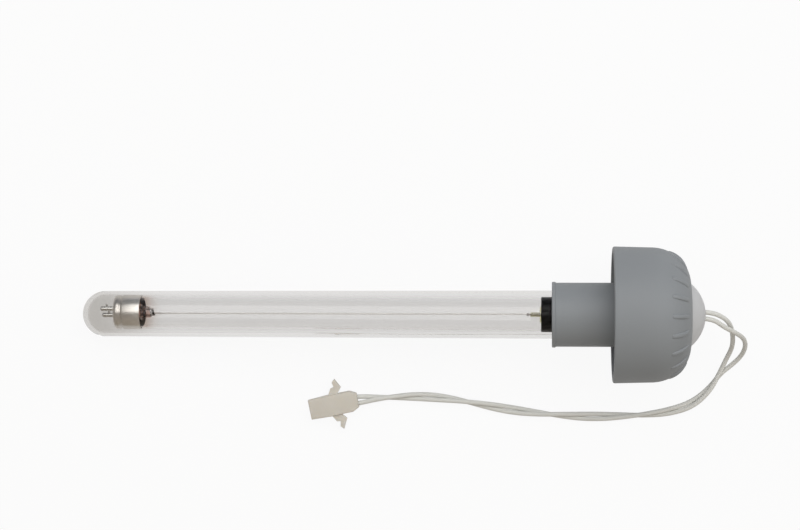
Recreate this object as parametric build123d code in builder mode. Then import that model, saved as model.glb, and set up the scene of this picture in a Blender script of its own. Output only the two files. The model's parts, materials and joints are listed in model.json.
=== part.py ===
from build123d import *
import math
import os

# A germicidal lamp in its quartz sleeve, lying on a floor: the sleeve's tip and the rim of the
# holder's bell touch the floor, so the whole lamp leans up towards its rear end.
# Millimetres, +Z up, +X from the sleeve's tip to the rear, origin under the middle of the lamp.
# Lengths along the lamp are measured from the outer end of the sleeve's tip.

# Discharge lamp: a clear T5 tube with two pins at each end
lamp_length = 212.0              # between the faces of its two end caps
lamp_glass_diameter = 16.0
lamp_glass_wall = 0.8
glass_seat = 5.0                 # from a cap's face to the end of the glass inside it
shoulder_length = 2.6            # where the glass swells from a cap to its full diameter
lamp_offset = 0.85               # the free end leans this far sideways in the sleeve

# End caps and pins
cap_diameter = 16.2
cap_wall = 0.45
tip_cap_length = 12.6
holder_cap_length = 12.6
holder_cap_floor = 1.8
bead_width = 3.0                 # rolled bead around the metal cap's face
bead_drop = 0.2                  # bead's crest below the cap's outside
groove_depth = 0.65
groove_width = 0.7
face_opening_diameter = 12.0
disc_thickness = 1.8
disc_recess = 0.6
pin_diameter = 2.35
pin_spacing = 4.75
pin_length = 7.1
pin_root = 2.9                   # length of a pin behind the cap's face
pin_nose = 0.7                   # rounding of its free end

# Cathodes: a glass stem, two wires and a coil across them
stem_rim = 1.2
stem_flare = 3.6
stem_neck_diameter = 7.6
stem_wall = 0.8
press_width = 7.2
press_thickness = 2.0
press_length = 4.2
cathode_wire_diameter = 0.6
tip_cathode_reach = 17.6         # from the cap's face to the coil
holder_cathode_reach = 18.7
coil_diameter = 1.2
coil_root_diameter = 0.85        # between its turns
coil_turns = 8
tip_turn = -40.0                 # of the tip's pins about the lamp's axis, from upright

# Quartz sleeve
sleeve_tip_diameter = 21.3
sleeve_mouth_diameter = 22.2
sleeve_bore = 18.3
dome_thickness = 2.0             # of the quartz at the tip, along the axis
inner_dome_depth = 8.65
pin_tip_clearance = 6.7          # from the pins to the quartz

# Pin carrier in the sleeve's mouth, with the contacts of the lamp's pins
carrier_length = 23.8
carrier_gap = 0.2
contact_wall = 0.475
contact_gap = 0.6                # between the lamp's face and a contact
contact_clearance = 0.1
strap_thickness = 0.5

# Holder: neck, bell and grip ribs
neck_diameter = 29.5
neck_length = 27.8               # in front of the bell's rim
neck_grip = 31.7                 # depth of the sleeve in the neck
lip_diameter = 30.3
lip_width = 1.7
lip_rounding = 0.4
bell_rim_diameter = 62.9
bell_shoulder_diameter = 62.0
bell_wall = 2.7
rim_rounding = 0.85
skirt_length = 17.3              # from the rim to where the bell's shoulder begins
shoulder_depth = 18.0            # of the bell's rounded back, along the axis
roof_thickness = 3.4
back_diameter = 29.8             # flat ring around the rear plug
rib_count = 20
rib_width = 2.0
rib_height = 0.65
rib_root = 1.0                   # a rib's two ends sink this far into the bell's rounded back
rib_start = 20.0                 # angles of those ends, from the bell's shoulder
rib_end = 70.0

# Rear plug
plug_diameter = 29.2
plug_height = 7.0
shank_diameter = 24.0
shank_length = 8.7
wire_hole_clearance = 0.1

# Wiring
lead_diameter = 2.2
lead_spacing = 2.9
lead_start = 4.7                 # depth of a lead's outer length below the plug's top
lead_joint_gap = 0.05            # between a lead's inner and outer lengths
lead_exit = 2.9                  # straight run of a lead outside the plug
lead_bend = 3.2                  # from a bend to what holds the lead straight
return_wire_diameter = 0.8
return_wire_clearance = 0.05
return_joint = 4.3               # from the metal cap's face to the wire across its pins
return_landing = 0.8             # from the metal cap's face to where the wire reaches the bore
return_groove_depth = 1.2        # in the pin carrier, from the wire's middle
splice_wall = 0.5
splice_length = 7.0
splice_gap = 4.5                 # from the sleeve's mouth to the splice
splice_drop = 3.2                # of the splice below the sleeve's axis

# Connector on the leads, lying flat
plug_face = (-38.1, -45.9)       # middle of its mating face on the floor
plug_angle = 11.8                # of its length to the lamp, in degrees
plug_length = 23.2
plug_thickness = 6.4
plug_front_width = 9.2
plug_middle_width = 10.2
plug_rear_width = 9.9
plug_step = 10.0
rear_chamfer_length = 3.2
rear_chamfer_width = 1.6
plug_edge = 0.4
plug_pitch = 3.4
plug_hole = 2.7
plug_wire_depth = 5.2
contact_recess = 1.0
contact_bore = 1.6
contact_bore_depth = 9.0
wing_thickness = 3.6
wing_points = [(9.5, 4.4), (11.5, 7.9), (13.2, 8.2), (12.7, 10.6), (14.2, 12.1), (16.5, 7.5), (13.9, 4.4)]

# The two leads leave the plug, cross once as they drop, then lie twisted together on the floor
twist_radius = 1.25
twist_height = 2.4
twist_step = 45.0                # turn of the pair from one point of its route to the next
bend_share = 0.45                # of a wire's shorter run that a bend may take up
lead_1_drop = [
    (154.6, -2.0, 32.8), (158.3, -6.5, 25.8), (160.3, -11.8, 17.8), (161.2, -16.4, 10.0), (159.3, -22.0, 5.0),
]
lead_2_drop = [
    (153.6, -5.8, 34.0), (160.4, -8.8, 28.6), (165.2, -11.7, 20.2), (167.4, -15.8, 11.6), (166.4, -20.6, 4.9),
    (162.0, -25.2, 1.8),
]
pair_route = [
    (157.0, -28.5), (151.6, -36.8), (143.4, -43.6), (132.8, -46.9), (121.8, -48.3), (111.1, -48.9),
    (100.9, -49.2), (90.6, -49.1), (80.4, -48.5), (70.4, -47.6), (60.4, -46.4), (50.6, -44.8),
    (40.8, -42.9), (31.2, -41.2), (21.9, -40.1), (12.5, -39.6), (3.0, -39.9), (-6.4, -40.4),
]

os.makedirs("parts", exist_ok=True)

# Radii and stations along the lamp
tip_radius = sleeve_tip_diameter / 2
bore_radius = sleeve_bore / 2
glass_radius = lamp_glass_diameter / 2
cap_radius = cap_diameter / 2
seat_radius = cap_radius - cap_wall
pin_radius = pin_diameter / 2
neck_radius = neck_diameter / 2
rim_radius = bell_rim_diameter / 2
plug_radius = plug_diameter / 2
lead_radius = lead_diameter / 2
return_radius = return_wire_diameter / 2
lamp_start = dome_thickness + pin_length + pin_tip_clearance
lamp_end = lamp_start + lamp_length
sleeve_end = lamp_end + carrier_gap + carrier_length
lip_start = sleeve_end - neck_grip
rim_start = lip_start + neck_length
shoulder_start = rim_start + skirt_length
back_end = shoulder_start + shoulder_depth
plug_top = back_end + plug_height
plug_front = back_end - shank_length
plug_sphere = (plug_radius**2 + plug_height**2) / (2 * plug_height)

# How far the lamp leans: its tip and its rim touch the floor together
rim_run = rim_start + rim_rounding - tip_radius
rim_rise = rim_radius - rim_rounding
rim_reach = math.hypot(rim_run, rim_rise)
lean = math.atan2(rim_rise, rim_run) - math.asin((tip_radius - rim_rounding) / rim_reach)
lean_cos = math.cos(lean)
lean_sin = math.sin(lean)

# Places: each piece is drawn along +X with +Y up, then laid in one of these
box_length = (plug_top - plug_sphere - tip_radius) * lean_cos + plug_sphere + tip_radius
tip_point = (tip_radius * (1 - lean_cos) - box_length / 2, 0, tip_radius * (1 - lean_sin))
sleeve_frame = Plane(origin=tip_point, x_dir=(lean_cos, 0, lean_sin), z_dir=(0, -1, 0))
near_face = sleeve_frame.from_local_coords(Vector(lamp_start, 0, -lamp_offset))
lamp_along = (sleeve_frame.from_local_coords(Vector(lamp_end, 0, 0)) - near_face).normalized()
lamp_across = lamp_along.cross(Vector(0, 0, 1)).normalized()
far_face = near_face + lamp_along * lamp_length
sleeve_place = Location(sleeve_frame)
lamp_place = Location(Plane(origin=near_face, x_dir=lamp_along, z_dir=lamp_across))
tip_place = lamp_place * Rotation(tip_turn, 0, 0)
far_place = Location(Plane(origin=far_face, x_dir=lamp_along * -1, z_dir=lamp_across * -1))


def save(part, name, place=Location()):
    """Lay a finished piece in its place, label it and write it."""
    laid = part.moved(place)
    laid.label = name
    export_step(laid, f"parts/{name}.step")


# Quartz sleeve: a round dome, a slightly growing tube, and a straight end in the neck
mouth_radius = sleeve_mouth_diameter / 2
inner_dome_end = dome_thickness + inner_dome_depth
quarter_pull = 0.5523            # bends a Bezier curve like a quarter of an ellipse
with BuildPart() as quartz_sleeve:
    with BuildSketch(Plane.XY):
        with BuildLine():
            CenterArc((tip_radius, 0), tip_radius, 90, 90)
            Polyline(
                (tip_radius, tip_radius),
                (lip_start, mouth_radius),
                (sleeve_end, mouth_radius),
                (sleeve_end, bore_radius),
                (inner_dome_end, bore_radius),
            )
            Bezier(
                (inner_dome_end, bore_radius),
                (inner_dome_end - quarter_pull * inner_dome_depth, bore_radius),
                (dome_thickness, quarter_pull * bore_radius),
                (dome_thickness, 0),
            )
            Line((dome_thickness, 0), (0, 0))
        make_face()
    revolve(axis=Axis.X)
save(quartz_sleeve.part, "quartz_sleeve", sleeve_place)


def glass_outline(radius, end_radius):
    """One long side of the lamp's glass, drawn in at both ends to fit the caps."""
    far_swell = lamp_length - holder_cap_length
    half = shoulder_length / 2
    Line((glass_seat, end_radius), (tip_cap_length, end_radius))
    Bezier(
        (tip_cap_length, end_radius),
        (tip_cap_length + half, end_radius),
        (tip_cap_length + half, radius),
        (tip_cap_length + shoulder_length, radius),
    )
    Line((tip_cap_length + shoulder_length, radius), (far_swell - shoulder_length, radius))
    Bezier(
        (far_swell - shoulder_length, radius),
        (far_swell - half, radius),
        (far_swell - half, end_radius),
        (far_swell, end_radius),
    )
    Line((far_swell, end_radius), (lamp_length - glass_seat, end_radius))


# Lamp tube: clear glass, open at both ends for the stems
inner_seat = seat_radius - lamp_glass_wall
with BuildPart() as lamp_tube:
    with BuildSketch(Plane.XY):
        with BuildLine():
            glass_outline(glass_radius, seat_radius)
            glass_outline(glass_radius - lamp_glass_wall, inner_seat)
            Line((glass_seat, inner_seat), (glass_seat, seat_radius))
            Line((lamp_length - glass_seat, inner_seat), (lamp_length - glass_seat, seat_radius))
        make_face()
    revolve(axis=Axis.X)
save(lamp_tube.part, "lamp_tube", lamp_place)

# Metal cap at the tip: a drawn shell whose rolled bead holds the insulating disc
bead_crest = cap_radius - bead_drop
groove_radius = cap_radius - groove_depth
groove_end = bead_width + groove_width
opening_radius = face_opening_diameter / 2
disc_radius = opening_radius + cap_wall
disc_back = disc_recess + disc_thickness
with BuildPart() as tip_end_cap:
    with BuildSketch(Plane.XY):
        with BuildLine():
            ThreePointArc((0, groove_radius - cap_wall), (bead_width / 2, bead_crest), (bead_width, groove_radius))
            Polyline(
                (bead_width, groove_radius),
                (groove_end, groove_radius),
                (groove_end + cap_wall, cap_radius),
                (tip_cap_length, cap_radius),
                (tip_cap_length, seat_radius),
                (groove_end + cap_wall, seat_radius),
                (groove_end, groove_radius - cap_wall),
                (disc_back, groove_radius - cap_wall),
                (disc_back, disc_radius),
                (disc_recess, disc_radius),
                (disc_recess, opening_radius),
                (0, opening_radius),
                (0, groove_radius - cap_wall),
            )
        make_face()
    revolve(axis=Axis.X)
save(tip_end_cap.part, "tip_end_cap", tip_place)

# Insulating disc, held behind the bead, with a hole for each pin
pin_places = [(-pin_spacing / 2, 0), (pin_spacing / 2, 0)]
with BuildPart() as tip_cap_disc:
    with BuildSketch(Plane.YZ.offset(disc_recess)):
        Circle(disc_radius)
        with Locations(*pin_places):
            Circle(pin_radius, mode=Mode.SUBTRACT)
    extrude(amount=disc_thickness)
save(tip_cap_disc.part, "tip_cap_disc", tip_place)

# Black moulded cap at the holder end, closed by a floor that carries the pins
with BuildPart() as holder_end_cap:
    with BuildSketch(Plane.YZ):
        Circle(cap_radius)
        with Locations(*pin_places):
            Circle(pin_radius, mode=Mode.SUBTRACT)
    extrude(amount=holder_cap_floor)
    with BuildSketch(Plane.YZ.offset(holder_cap_floor)):
        Circle(cap_radius)
        Circle(seat_radius, mode=Mode.SUBTRACT)
    extrude(amount=holder_cap_length - holder_cap_floor)
save(holder_end_cap.part, "holder_end_cap", far_place)


def make_pins(name, place):
    """The two round-nosed pins of one cap."""
    with BuildPart() as pins:
        with BuildSketch(Plane.YZ.offset(-pin_length)):
            with Locations(*pin_places):
                Circle(pin_radius)
        extrude(amount=pin_length + pin_root)
        noses = pins.edges().filter_by(GeomType.CIRCLE).sort_by(Axis.X)[:2]
        fillet(noses, radius=pin_nose)
    save(pins.part, name, place)


def make_cathode(end, reach, place):
    """Stem, wires and coil of one end of the lamp."""
    rim_end = glass_seat + stem_rim
    flare_end = rim_end + stem_flare
    press_end = reach - coil_diameter
    press_start = press_end - press_length
    stem_radius = stem_neck_diameter / 2
    wire_radius = cathode_wire_diameter / 2

    with BuildPart() as stem:
        with BuildSketch(Plane.XY):
            with BuildLine():
                Polyline(
                    (glass_seat, inner_seat),
                    (rim_end, inner_seat),
                    (flare_end, stem_radius),
                    (press_start, stem_radius),
                    (press_start, 0),
                    (press_start - stem_wall, 0),
                    (press_start - stem_wall, stem_radius - stem_wall),
                    (flare_end, stem_radius - stem_wall),
                    (rim_end, inner_seat - stem_wall),
                    (glass_seat, inner_seat - stem_wall),
                    close=True,
                )
            make_face()
        revolve(axis=Axis.X)
        with BuildSketch(Plane.YZ.offset(press_start)):
            SlotOverall(press_width, press_thickness)
        extrude(amount=press_length)
        with BuildSketch(Plane.YZ.offset(press_start - stem_wall)):
            with Locations(*pin_places):
                Circle(wire_radius)
        extrude(amount=press_length + stem_wall, mode=Mode.SUBTRACT)
    save(stem.part, f"{end}_stem", place)

    with BuildPart() as wires:
        with BuildSketch(Plane.YZ.offset(pin_root)):
            with Locations(*pin_places):
                Circle(wire_radius)
        extrude(amount=reach + coil_diameter / 2 - pin_root)
    save(wires.part, f"{end}_lead_wires", place)

    coil_half = pin_spacing / 2 - wire_radius
    turn_pitch = 2 * coil_half / coil_turns
    coil_radius = coil_diameter / 2
    coil_root = coil_root_diameter / 2
    with BuildPart() as filament:
        with BuildSketch(Plane.XY):
            with BuildLine():
                for turn in range(coil_turns):
                    low = turn * turn_pitch - coil_half
                    ThreePointArc(
                        (coil_root, low),
                        (coil_radius, low + turn_pitch / 2),
                        (coil_root, low + turn_pitch),
                    )
                Polyline((coil_root, coil_half), (0, coil_half), (0, -coil_half), (coil_root, -coil_half))
            make_face()
        revolve(axis=Axis.Y)
    save(filament.part, f"{end}_filament", place * Pos(reach, 0, 0))


make_pins("tip_cap_pins", tip_place)
make_pins("holder_cap_pins", far_place)
make_cathode("tip", tip_cathode_reach, tip_place)
make_cathode("holder", holder_cathode_reach, far_place)

# Contacts: a sleeve on each holder-end pin and a strap that joins them
contact_radius = pin_radius + contact_wall
strap_start = pin_length + contact_gap
with BuildPart() as pin_contacts:
    with BuildSketch(Plane.YZ.offset(-strap_start)):
        with Locations(*pin_places):
            Circle(contact_radius)
            Circle(pin_radius, mode=Mode.SUBTRACT)
    extrude(amount=pin_length)
    with BuildSketch(Plane.YZ.offset(-strap_start - strap_thickness)):
        SlotCenterToCenter(pin_spacing, 2 * contact_radius)
    extrude(amount=strap_thickness)
save(pin_contacts.part, "pin_contacts", far_place)

# Pin carrier: fills the sleeve's mouth, bored for the contacts and grooved for the return wire
return_line = bore_radius - return_radius - return_wire_clearance
groove_half = return_radius + return_wire_clearance
carrier_start = lamp_end + carrier_gap
socket_radius = contact_radius + contact_clearance
with BuildPart() as pin_carrier:
    with BuildSketch(Plane.YZ.offset(carrier_start)):
        Circle(bore_radius)
        with Locations((-return_line, 0)):
            Rectangle(2 * return_groove_depth, 2 * groove_half, mode=Mode.SUBTRACT)
        with Locations(*pin_places):
            Circle(socket_radius, mode=Mode.SUBTRACT)
    extrude(amount=carrier_length)
    with BuildSketch(Plane.YZ.offset(lamp_end + strap_start - contact_clearance)):
        SlotCenterToCenter(pin_spacing, 2 * socket_radius)
    extrude(amount=carrier_length, mode=Mode.SUBTRACT)
save(pin_carrier.part, "pin_carrier", sleeve_place)


def shoulder_point(angle, proud):
    """A point on the bell's rounded back, or proud of it."""
    turn = math.radians(angle)
    along = shoulder_start + (shoulder_depth + proud) * math.sin(turn)
    out = back_diameter / 2 + (shoulder_height + proud) * math.cos(turn)
    return along, out


# Holder: neck with a bead lip, bell open towards the tip, and ribs on its rounded back
shoulder_height = (bell_shoulder_diameter - back_diameter) / 2
shoulder_centre = (shoulder_start, back_diameter / 2)
lip_radius = lip_diameter / 2
roof_depth = shoulder_depth - roof_thickness
roof_height = shoulder_height - bell_wall
roof_angle = math.asin((neck_radius - back_diameter / 2) / roof_height)
roof_foot = shoulder_start + roof_depth * math.cos(roof_angle)
roof_arc = math.degrees(roof_angle)
rib_middle = (rib_start + rib_end) / 2
rib_feet = [shoulder_point(angle, -rib_root) for angle in (rib_start, rib_middle, rib_end)]
with BuildPart() as holder:
    with BuildSketch(Plane.XY):
        with BuildLine():
            Polyline((sleeve_end, mouth_radius), (lip_start, mouth_radius), (lip_start, lip_radius - lip_rounding))
            CenterArc((lip_start + lip_rounding, lip_radius - lip_rounding), lip_rounding, 90, 90)
            Polyline(
                (lip_start + lip_rounding, lip_radius),
                (lip_start + lip_width, lip_radius),
                (lip_start + lip_width, neck_radius),
                (roof_foot, neck_radius),
            )
            EllipticalCenterArc(shoulder_centre, roof_depth, roof_height, roof_arc, arc_size=90 - roof_arc)
            Polyline(
                (shoulder_start, bell_shoulder_diameter / 2 - bell_wall),
                (rim_start, rim_radius - bell_wall),
                (rim_start, rim_radius - rim_rounding),
            )
            CenterArc((rim_start + rim_rounding, rim_radius - rim_rounding), rim_rounding, 90, 90)
            Line((rim_start + rim_rounding, rim_radius), (shoulder_start, bell_shoulder_diameter / 2))
            EllipticalCenterArc(shoulder_centre, shoulder_depth, shoulder_height, 0, arc_size=90)
            Polyline(
                (back_end, back_diameter / 2),
                (back_end, shank_diameter / 2),
                (plug_front, shank_diameter / 2),
                (plug_front, bore_radius),
                (sleeve_end, bore_radius),
                (sleeve_end, mouth_radius),
            )
        make_face()
    revolve(axis=Axis.X)
    for rib in range(rib_count):
        with BuildSketch(Plane.XY.rotated((rib * 360 / rib_count, 0, 0))):
            with BuildLine():
                ThreePointArc(rib_feet[0], shoulder_point(rib_middle, rib_height), rib_feet[2])
                Polyline(*rib_feet)
            make_face()
        extrude(amount=rib_width / 2, both=True)
save(holder.part, "holder", sleeve_place)

# Rear plug: a shallow dome on a shank, with a hole for each lead
lead_side = lead_spacing / 2
plug_arc = math.degrees(math.asin(plug_radius / plug_sphere))
with BuildPart() as rear_plug:
    with BuildSketch(Plane.XY):
        with BuildLine():
            CenterArc((plug_top - plug_sphere, 0), plug_sphere, 0, plug_arc)
            Polyline(
                (back_end, plug_radius),
                (back_end, shank_diameter / 2),
                (plug_front, shank_diameter / 2),
                (plug_front, 0),
                (plug_top, 0),
            )
        make_face()
    revolve(axis=Axis.X)
    with BuildSketch(Plane.YZ.offset(plug_front)):
        with Locations((0, -lead_side), (0, lead_side)):
            Circle(lead_radius + wire_hole_clearance)
    extrude(amount=plug_top - plug_front, mode=Mode.SUBTRACT)
save(rear_plug.part, "rear_plug", sleeve_place)


def corner_radii(points):
    """The largest bends that a route's runs leave room for."""
    radii = []
    for before, here, after in zip(points, points[1:], points[2:]):
        run_in = Vector(here) - Vector(before)
        run_out = Vector(after) - Vector(here)
        half_turn = math.radians(run_in.get_angle(run_out)) / 2
        radii.append(bend_share * min(run_in.length, run_out.length) / math.tan(half_turn))
    return radii


def make_wire(points, diameter):
    """A round wire along straight runs joined by bends."""
    with BuildPart() as wire:
        with BuildLine() as route:
            FilletPolyline(*points, radius=corner_radii(points))
        path = route.wire()
        with BuildSketch(Plane(origin=path @ 0, z_dir=path % 0)):
            Circle(diameter / 2)
        sweep(path=path)
    section = math.pi * diameter**2 / 4
    print(f"wire {path.length:.1f} mm long, filled {wire.part.volume / section / path.length:.4f}")
    return wire.part


def point_in(place, along, up, side):
    """A point of a place: along it, above its axis and to its +Y side."""
    return tuple((place * Pos(along, up, -side)).position)


# Return wire: across the tip's pins, down to the sleeve's bore, and back under the lamp
pin_side = pin_radius + return_radius
pin_reach = pin_spacing / 2 + pin_radius
splice_start = sleeve_end + splice_gap
splice_middle = splice_start + splice_length / 2
return_points = [
    point_in(tip_place, -return_joint, pin_reach, pin_side),
    point_in(tip_place, -return_joint, -pin_reach, pin_side),
    point_in(sleeve_place, lamp_start - return_landing, -return_line, 0),
    point_in(sleeve_place, sleeve_end + return_wire_diameter, -return_line, 0),
    point_in(sleeve_place, splice_start - return_wire_diameter, -splice_drop, -lead_side),
    point_in(sleeve_place, splice_middle, -splice_drop, -lead_side),
]
return_wire = make_wire(return_points, return_wire_diameter)
save(return_wire, "return_wire")

# Splice: a crimped tube that joins the return wire to the second lead
with BuildPart() as splice_crimp:
    with BuildSketch(Plane.YZ):
        Circle(lead_radius + splice_wall)
        Circle(lead_radius, mode=Mode.SUBTRACT)
    extrude(amount=splice_length)
save(splice_crimp.part, "splice_crimp", sleeve_place * Pos(splice_start, -splice_drop, lead_side))

# Inner leads: from the contacts and the splice into the rear plug
lead_joint = plug_top - lead_start
inner_end = lead_joint - lead_joint_gap
bend_place = plug_front - lead_bend
strap_back = strap_start + strap_thickness
inner_lead_1 = make_wire(
    [
        point_in(far_place, -strap_back, pin_spacing / 2, 0),
        point_in(far_place, -carrier_length - lead_bend, pin_spacing / 2, 0),
        point_in(sleeve_place, bend_place, 0, lead_side),
        point_in(sleeve_place, inner_end, 0, lead_side),
    ],
    lead_diameter,
)
inner_lead_2 = make_wire(
    [
        point_in(sleeve_place, splice_middle, -splice_drop, -lead_side),
        point_in(sleeve_place, splice_start + splice_length + lead_bend, -splice_drop, -lead_side),
        point_in(sleeve_place, bend_place, 0, -lead_side),
        point_in(sleeve_place, inner_end, 0, -lead_side),
    ],
    lead_diameter,
)
save(Compound(children=[inner_lead_1, inner_lead_2]), "inner_leads")

# Connector place: x from the mating face to the rear, on the floor
plug_place = Location((*plug_face, 0), (0, 0, plug_angle))
plug_middle = plug_thickness / 2


def twisted(side):
    """One strand of the pair: 1 for the strand that starts on top, -1 for the other."""
    points = []
    for step, (x, y) in enumerate(pair_route):
        before = pair_route[max(step - 1, 0)]
        after = pair_route[min(step + 1, len(pair_route) - 1)]
        heading = Vector(after[0] - before[0], after[1] - before[1], 0).normalized()
        turn = math.radians(twist_step * (step - 0.5))
        left = side * twist_radius * math.sin(turn)
        up = twist_height + side * twist_radius * math.cos(turn)
        points.append((x - heading.Y * left, y + heading.X * left, up))
    return points


# Outer leads: out of the plug, down, along the floor and into the connector
lead_ends = [(1, lead_1_drop), (-1, lead_2_drop)]
for number, (side, drop) in enumerate(lead_ends, start=1):
    start = point_in(sleeve_place, lead_joint, 0, side * lead_side)
    outside = point_in(sleeve_place, plug_top + lead_exit, 0, side * lead_side)
    entry = plug_place * Pos(plug_length, -side * plug_pitch / 2, plug_middle)
    inside = entry * Pos(-plug_wire_depth, 0, 0)
    lead_points = [start, outside, *drop, *twisted(side), tuple(entry.position), tuple(inside.position)]
    save(make_wire(lead_points, lead_diameter), f"lead_wire_{number}")

# Connector housing: a stepped nylon block with two bores and a snap wing on each side
middle_half = plug_middle_width / 2
rear_half = plug_rear_width / 2
plug_side = [
    (0, plug_front_width / 2),
    (plug_step, middle_half),
    (plug_step, rear_half),
    (plug_length - rear_chamfer_length, rear_half),
    (plug_length, rear_half - rear_chamfer_width),
]
bore_places = [(-plug_pitch / 2, plug_middle), (plug_pitch / 2, plug_middle)]
with BuildPart() as plug_housing:
    with BuildSketch(Plane.XY):
        with BuildLine():
            Polyline(*plug_side, *[(along, -across) for along, across in reversed(plug_side)], close=True)
        make_face()
    extrude(amount=plug_thickness)
    chamfer(plug_housing.faces().sort_by(Axis.Z)[-1].edges(), length=plug_edge)
    with BuildSketch(Plane.XY.offset((plug_thickness - wing_thickness) / 2)):
        for mirror_side in (1, -1):
            with BuildLine():
                Polyline(*[(along, mirror_side * across) for along, across in wing_points], close=True)
            make_face()
    extrude(amount=wing_thickness)
    with BuildSketch(Plane.YZ):
        with Locations(*bore_places):
            Circle(plug_hole / 2)
    extrude(amount=plug_length, mode=Mode.SUBTRACT)
save(plug_housing.part, "plug_housing", plug_place)

# Connector contacts: a socket tube in each bore, up to the end of its lead
with BuildPart() as plug_contacts:
    with BuildSketch(Plane.YZ.offset(contact_recess)):
        with Locations(*bore_places):
            Circle(plug_hole / 2)
    extrude(amount=plug_length - plug_wire_depth - contact_recess)
    with BuildSketch(Plane.YZ.offset(contact_recess)):
        with Locations(*bore_places):
            Circle(contact_bore / 2)
    extrude(amount=contact_bore_depth, mode=Mode.SUBTRACT)
save(plug_contacts.part, "plug_contacts", plug_place)
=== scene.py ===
# %% [markdown]
# # A germicidal lamp in its quartz sleeve
#
# The lamp lies on a white table and is seen from straight above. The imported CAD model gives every
# piece its place and size. This lesson dresses it: glass that bends light, a drawn metal cap, a grey
# moulded holder, and two braided leads that run to a nylon connector.

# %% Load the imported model
import json
import math

import bmesh
import bpy
from mathutils import Matrix, Vector

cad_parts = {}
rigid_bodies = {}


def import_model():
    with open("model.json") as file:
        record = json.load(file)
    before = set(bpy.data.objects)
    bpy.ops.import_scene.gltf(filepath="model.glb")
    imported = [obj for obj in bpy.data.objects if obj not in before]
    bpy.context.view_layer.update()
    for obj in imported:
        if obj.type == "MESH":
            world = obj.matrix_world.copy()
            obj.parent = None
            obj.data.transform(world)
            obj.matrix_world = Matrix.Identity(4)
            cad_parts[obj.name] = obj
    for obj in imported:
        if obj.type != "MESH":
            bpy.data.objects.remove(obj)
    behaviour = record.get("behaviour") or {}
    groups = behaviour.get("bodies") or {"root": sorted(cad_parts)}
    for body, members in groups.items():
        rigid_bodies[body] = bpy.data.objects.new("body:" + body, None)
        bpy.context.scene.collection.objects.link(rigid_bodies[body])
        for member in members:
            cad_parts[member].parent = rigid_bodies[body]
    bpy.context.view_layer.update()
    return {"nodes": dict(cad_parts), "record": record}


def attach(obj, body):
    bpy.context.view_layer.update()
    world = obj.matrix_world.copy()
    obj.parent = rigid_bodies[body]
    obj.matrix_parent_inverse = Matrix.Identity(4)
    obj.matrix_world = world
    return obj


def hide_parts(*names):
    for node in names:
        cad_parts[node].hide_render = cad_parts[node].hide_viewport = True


for leftover in list(bpy.data.objects):
    bpy.data.objects.remove(leftover)
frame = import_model()
nodes = frame["nodes"]
scene = bpy.context.scene
scene.view_settings.view_transform = "Standard"

# %% [markdown]
# ## The camera
#
# The photograph looks straight down. A camera could be aimed with a constraint, but straight down is
# its own rest direction, so here it only gets a place. Its height shows in the bell: how far the
# round rim turns towards the lens sets it, and the lens then follows from the lamp's length in the
# picture. The lamp's sizes are written in millimetres and multiplied by MM, and those of the table and
# the light are in metres.

# %% Camera over the table
MM = 0.001
photo_width = 800
focal_pixels = 1781
camera_spot = Vector((4.67, 22.9, 850.0))
camera_data = bpy.data.cameras.new("camera")
camera_data.sensor_width = 36
camera_data.lens = camera_data.sensor_width * focal_pixels / photo_width
camera = bpy.data.objects.new("camera", camera_data)
camera.location = camera_spot * MM
scene.collection.objects.link(camera)
scene.camera = camera
print("lens", round(camera_data.lens, 1), "mm")

# %% [markdown]
# ## Places along the lamp
#
# The lamp's axis rises from the table towards the rear, and the lamp itself leans a little sideways
# in its sleeve. Pieces could be turned as objects, but here each shape is laid down by a matrix, so
# that its object stays at the origin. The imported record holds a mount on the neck's lip, and that
# mount's point and direction give the axis, so nothing has to be measured again. In a place x runs
# along the piece and y points up across it. Only the tip's place is then turned about x, as its pins
# are.

# %% Places for the sleeve, the lamp and its two ends
def place_at(origin, along, side):
    """A matrix that lays x along, z to the side and y across both."""
    up = side.cross(along)
    turn = Matrix((along, up, side)).transposed().to_4x4()
    return Matrix.Translation(origin) @ turn


lip_middle = 221.15              # from the sleeve's tip to the mount on the lip
lamp_start = 15.8                # from the sleeve's tip to the metal cap's face
lamp_length = 212.0              # between the faces of the two caps
lamp_offset = 0.85               # sideways, at the tip
tip_turn = -40.0                 # of the tip's pins about the lamp's axis
lip_mount = next(mount for mount in frame["record"]["mounts"] if mount["name"] == "neck_lip")
sleeve_along = -Vector(lip_mount["axis"]).normalized()
sleeve_tip = Vector(lip_mount["pos_m"]) - sleeve_along * lip_middle * MM
sleeve_place = place_at(sleeve_tip, sleeve_along, Vector((0, -1, 0)))
near_face = sleeve_place @ Vector((lamp_start * MM, 0, -lamp_offset * MM))
far_middle = sleeve_place @ Vector(((lamp_start + lamp_length) * MM, 0, 0))
lamp_along = (far_middle - near_face).normalized()
lamp_side = lamp_along.cross(Vector((0, 0, 1))).normalized()
lamp_place = place_at(near_face, lamp_along, lamp_side)
tip_place = lamp_place @ Matrix.Rotation(math.radians(tip_turn), 4, "X")
far_place = place_at(near_face + lamp_along * lamp_length * MM, -lamp_along, -lamp_side)
print("tip at", [round(x * 1000, 2) for x in sleeve_tip])

# %% [markdown]
# ## The leads
#
# Two thin leads leave the rear plug, cross once as they drop to the table, and then lie loosely
# twisted. A lead could be a bent mesh tube, but a curve of third order bends softly near its control
# points, as a limp lead does. So each lead is one NURBS curve on the points of its route, and the
# twist is a small turn of the two strands about their common route from each point to the next.

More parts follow.
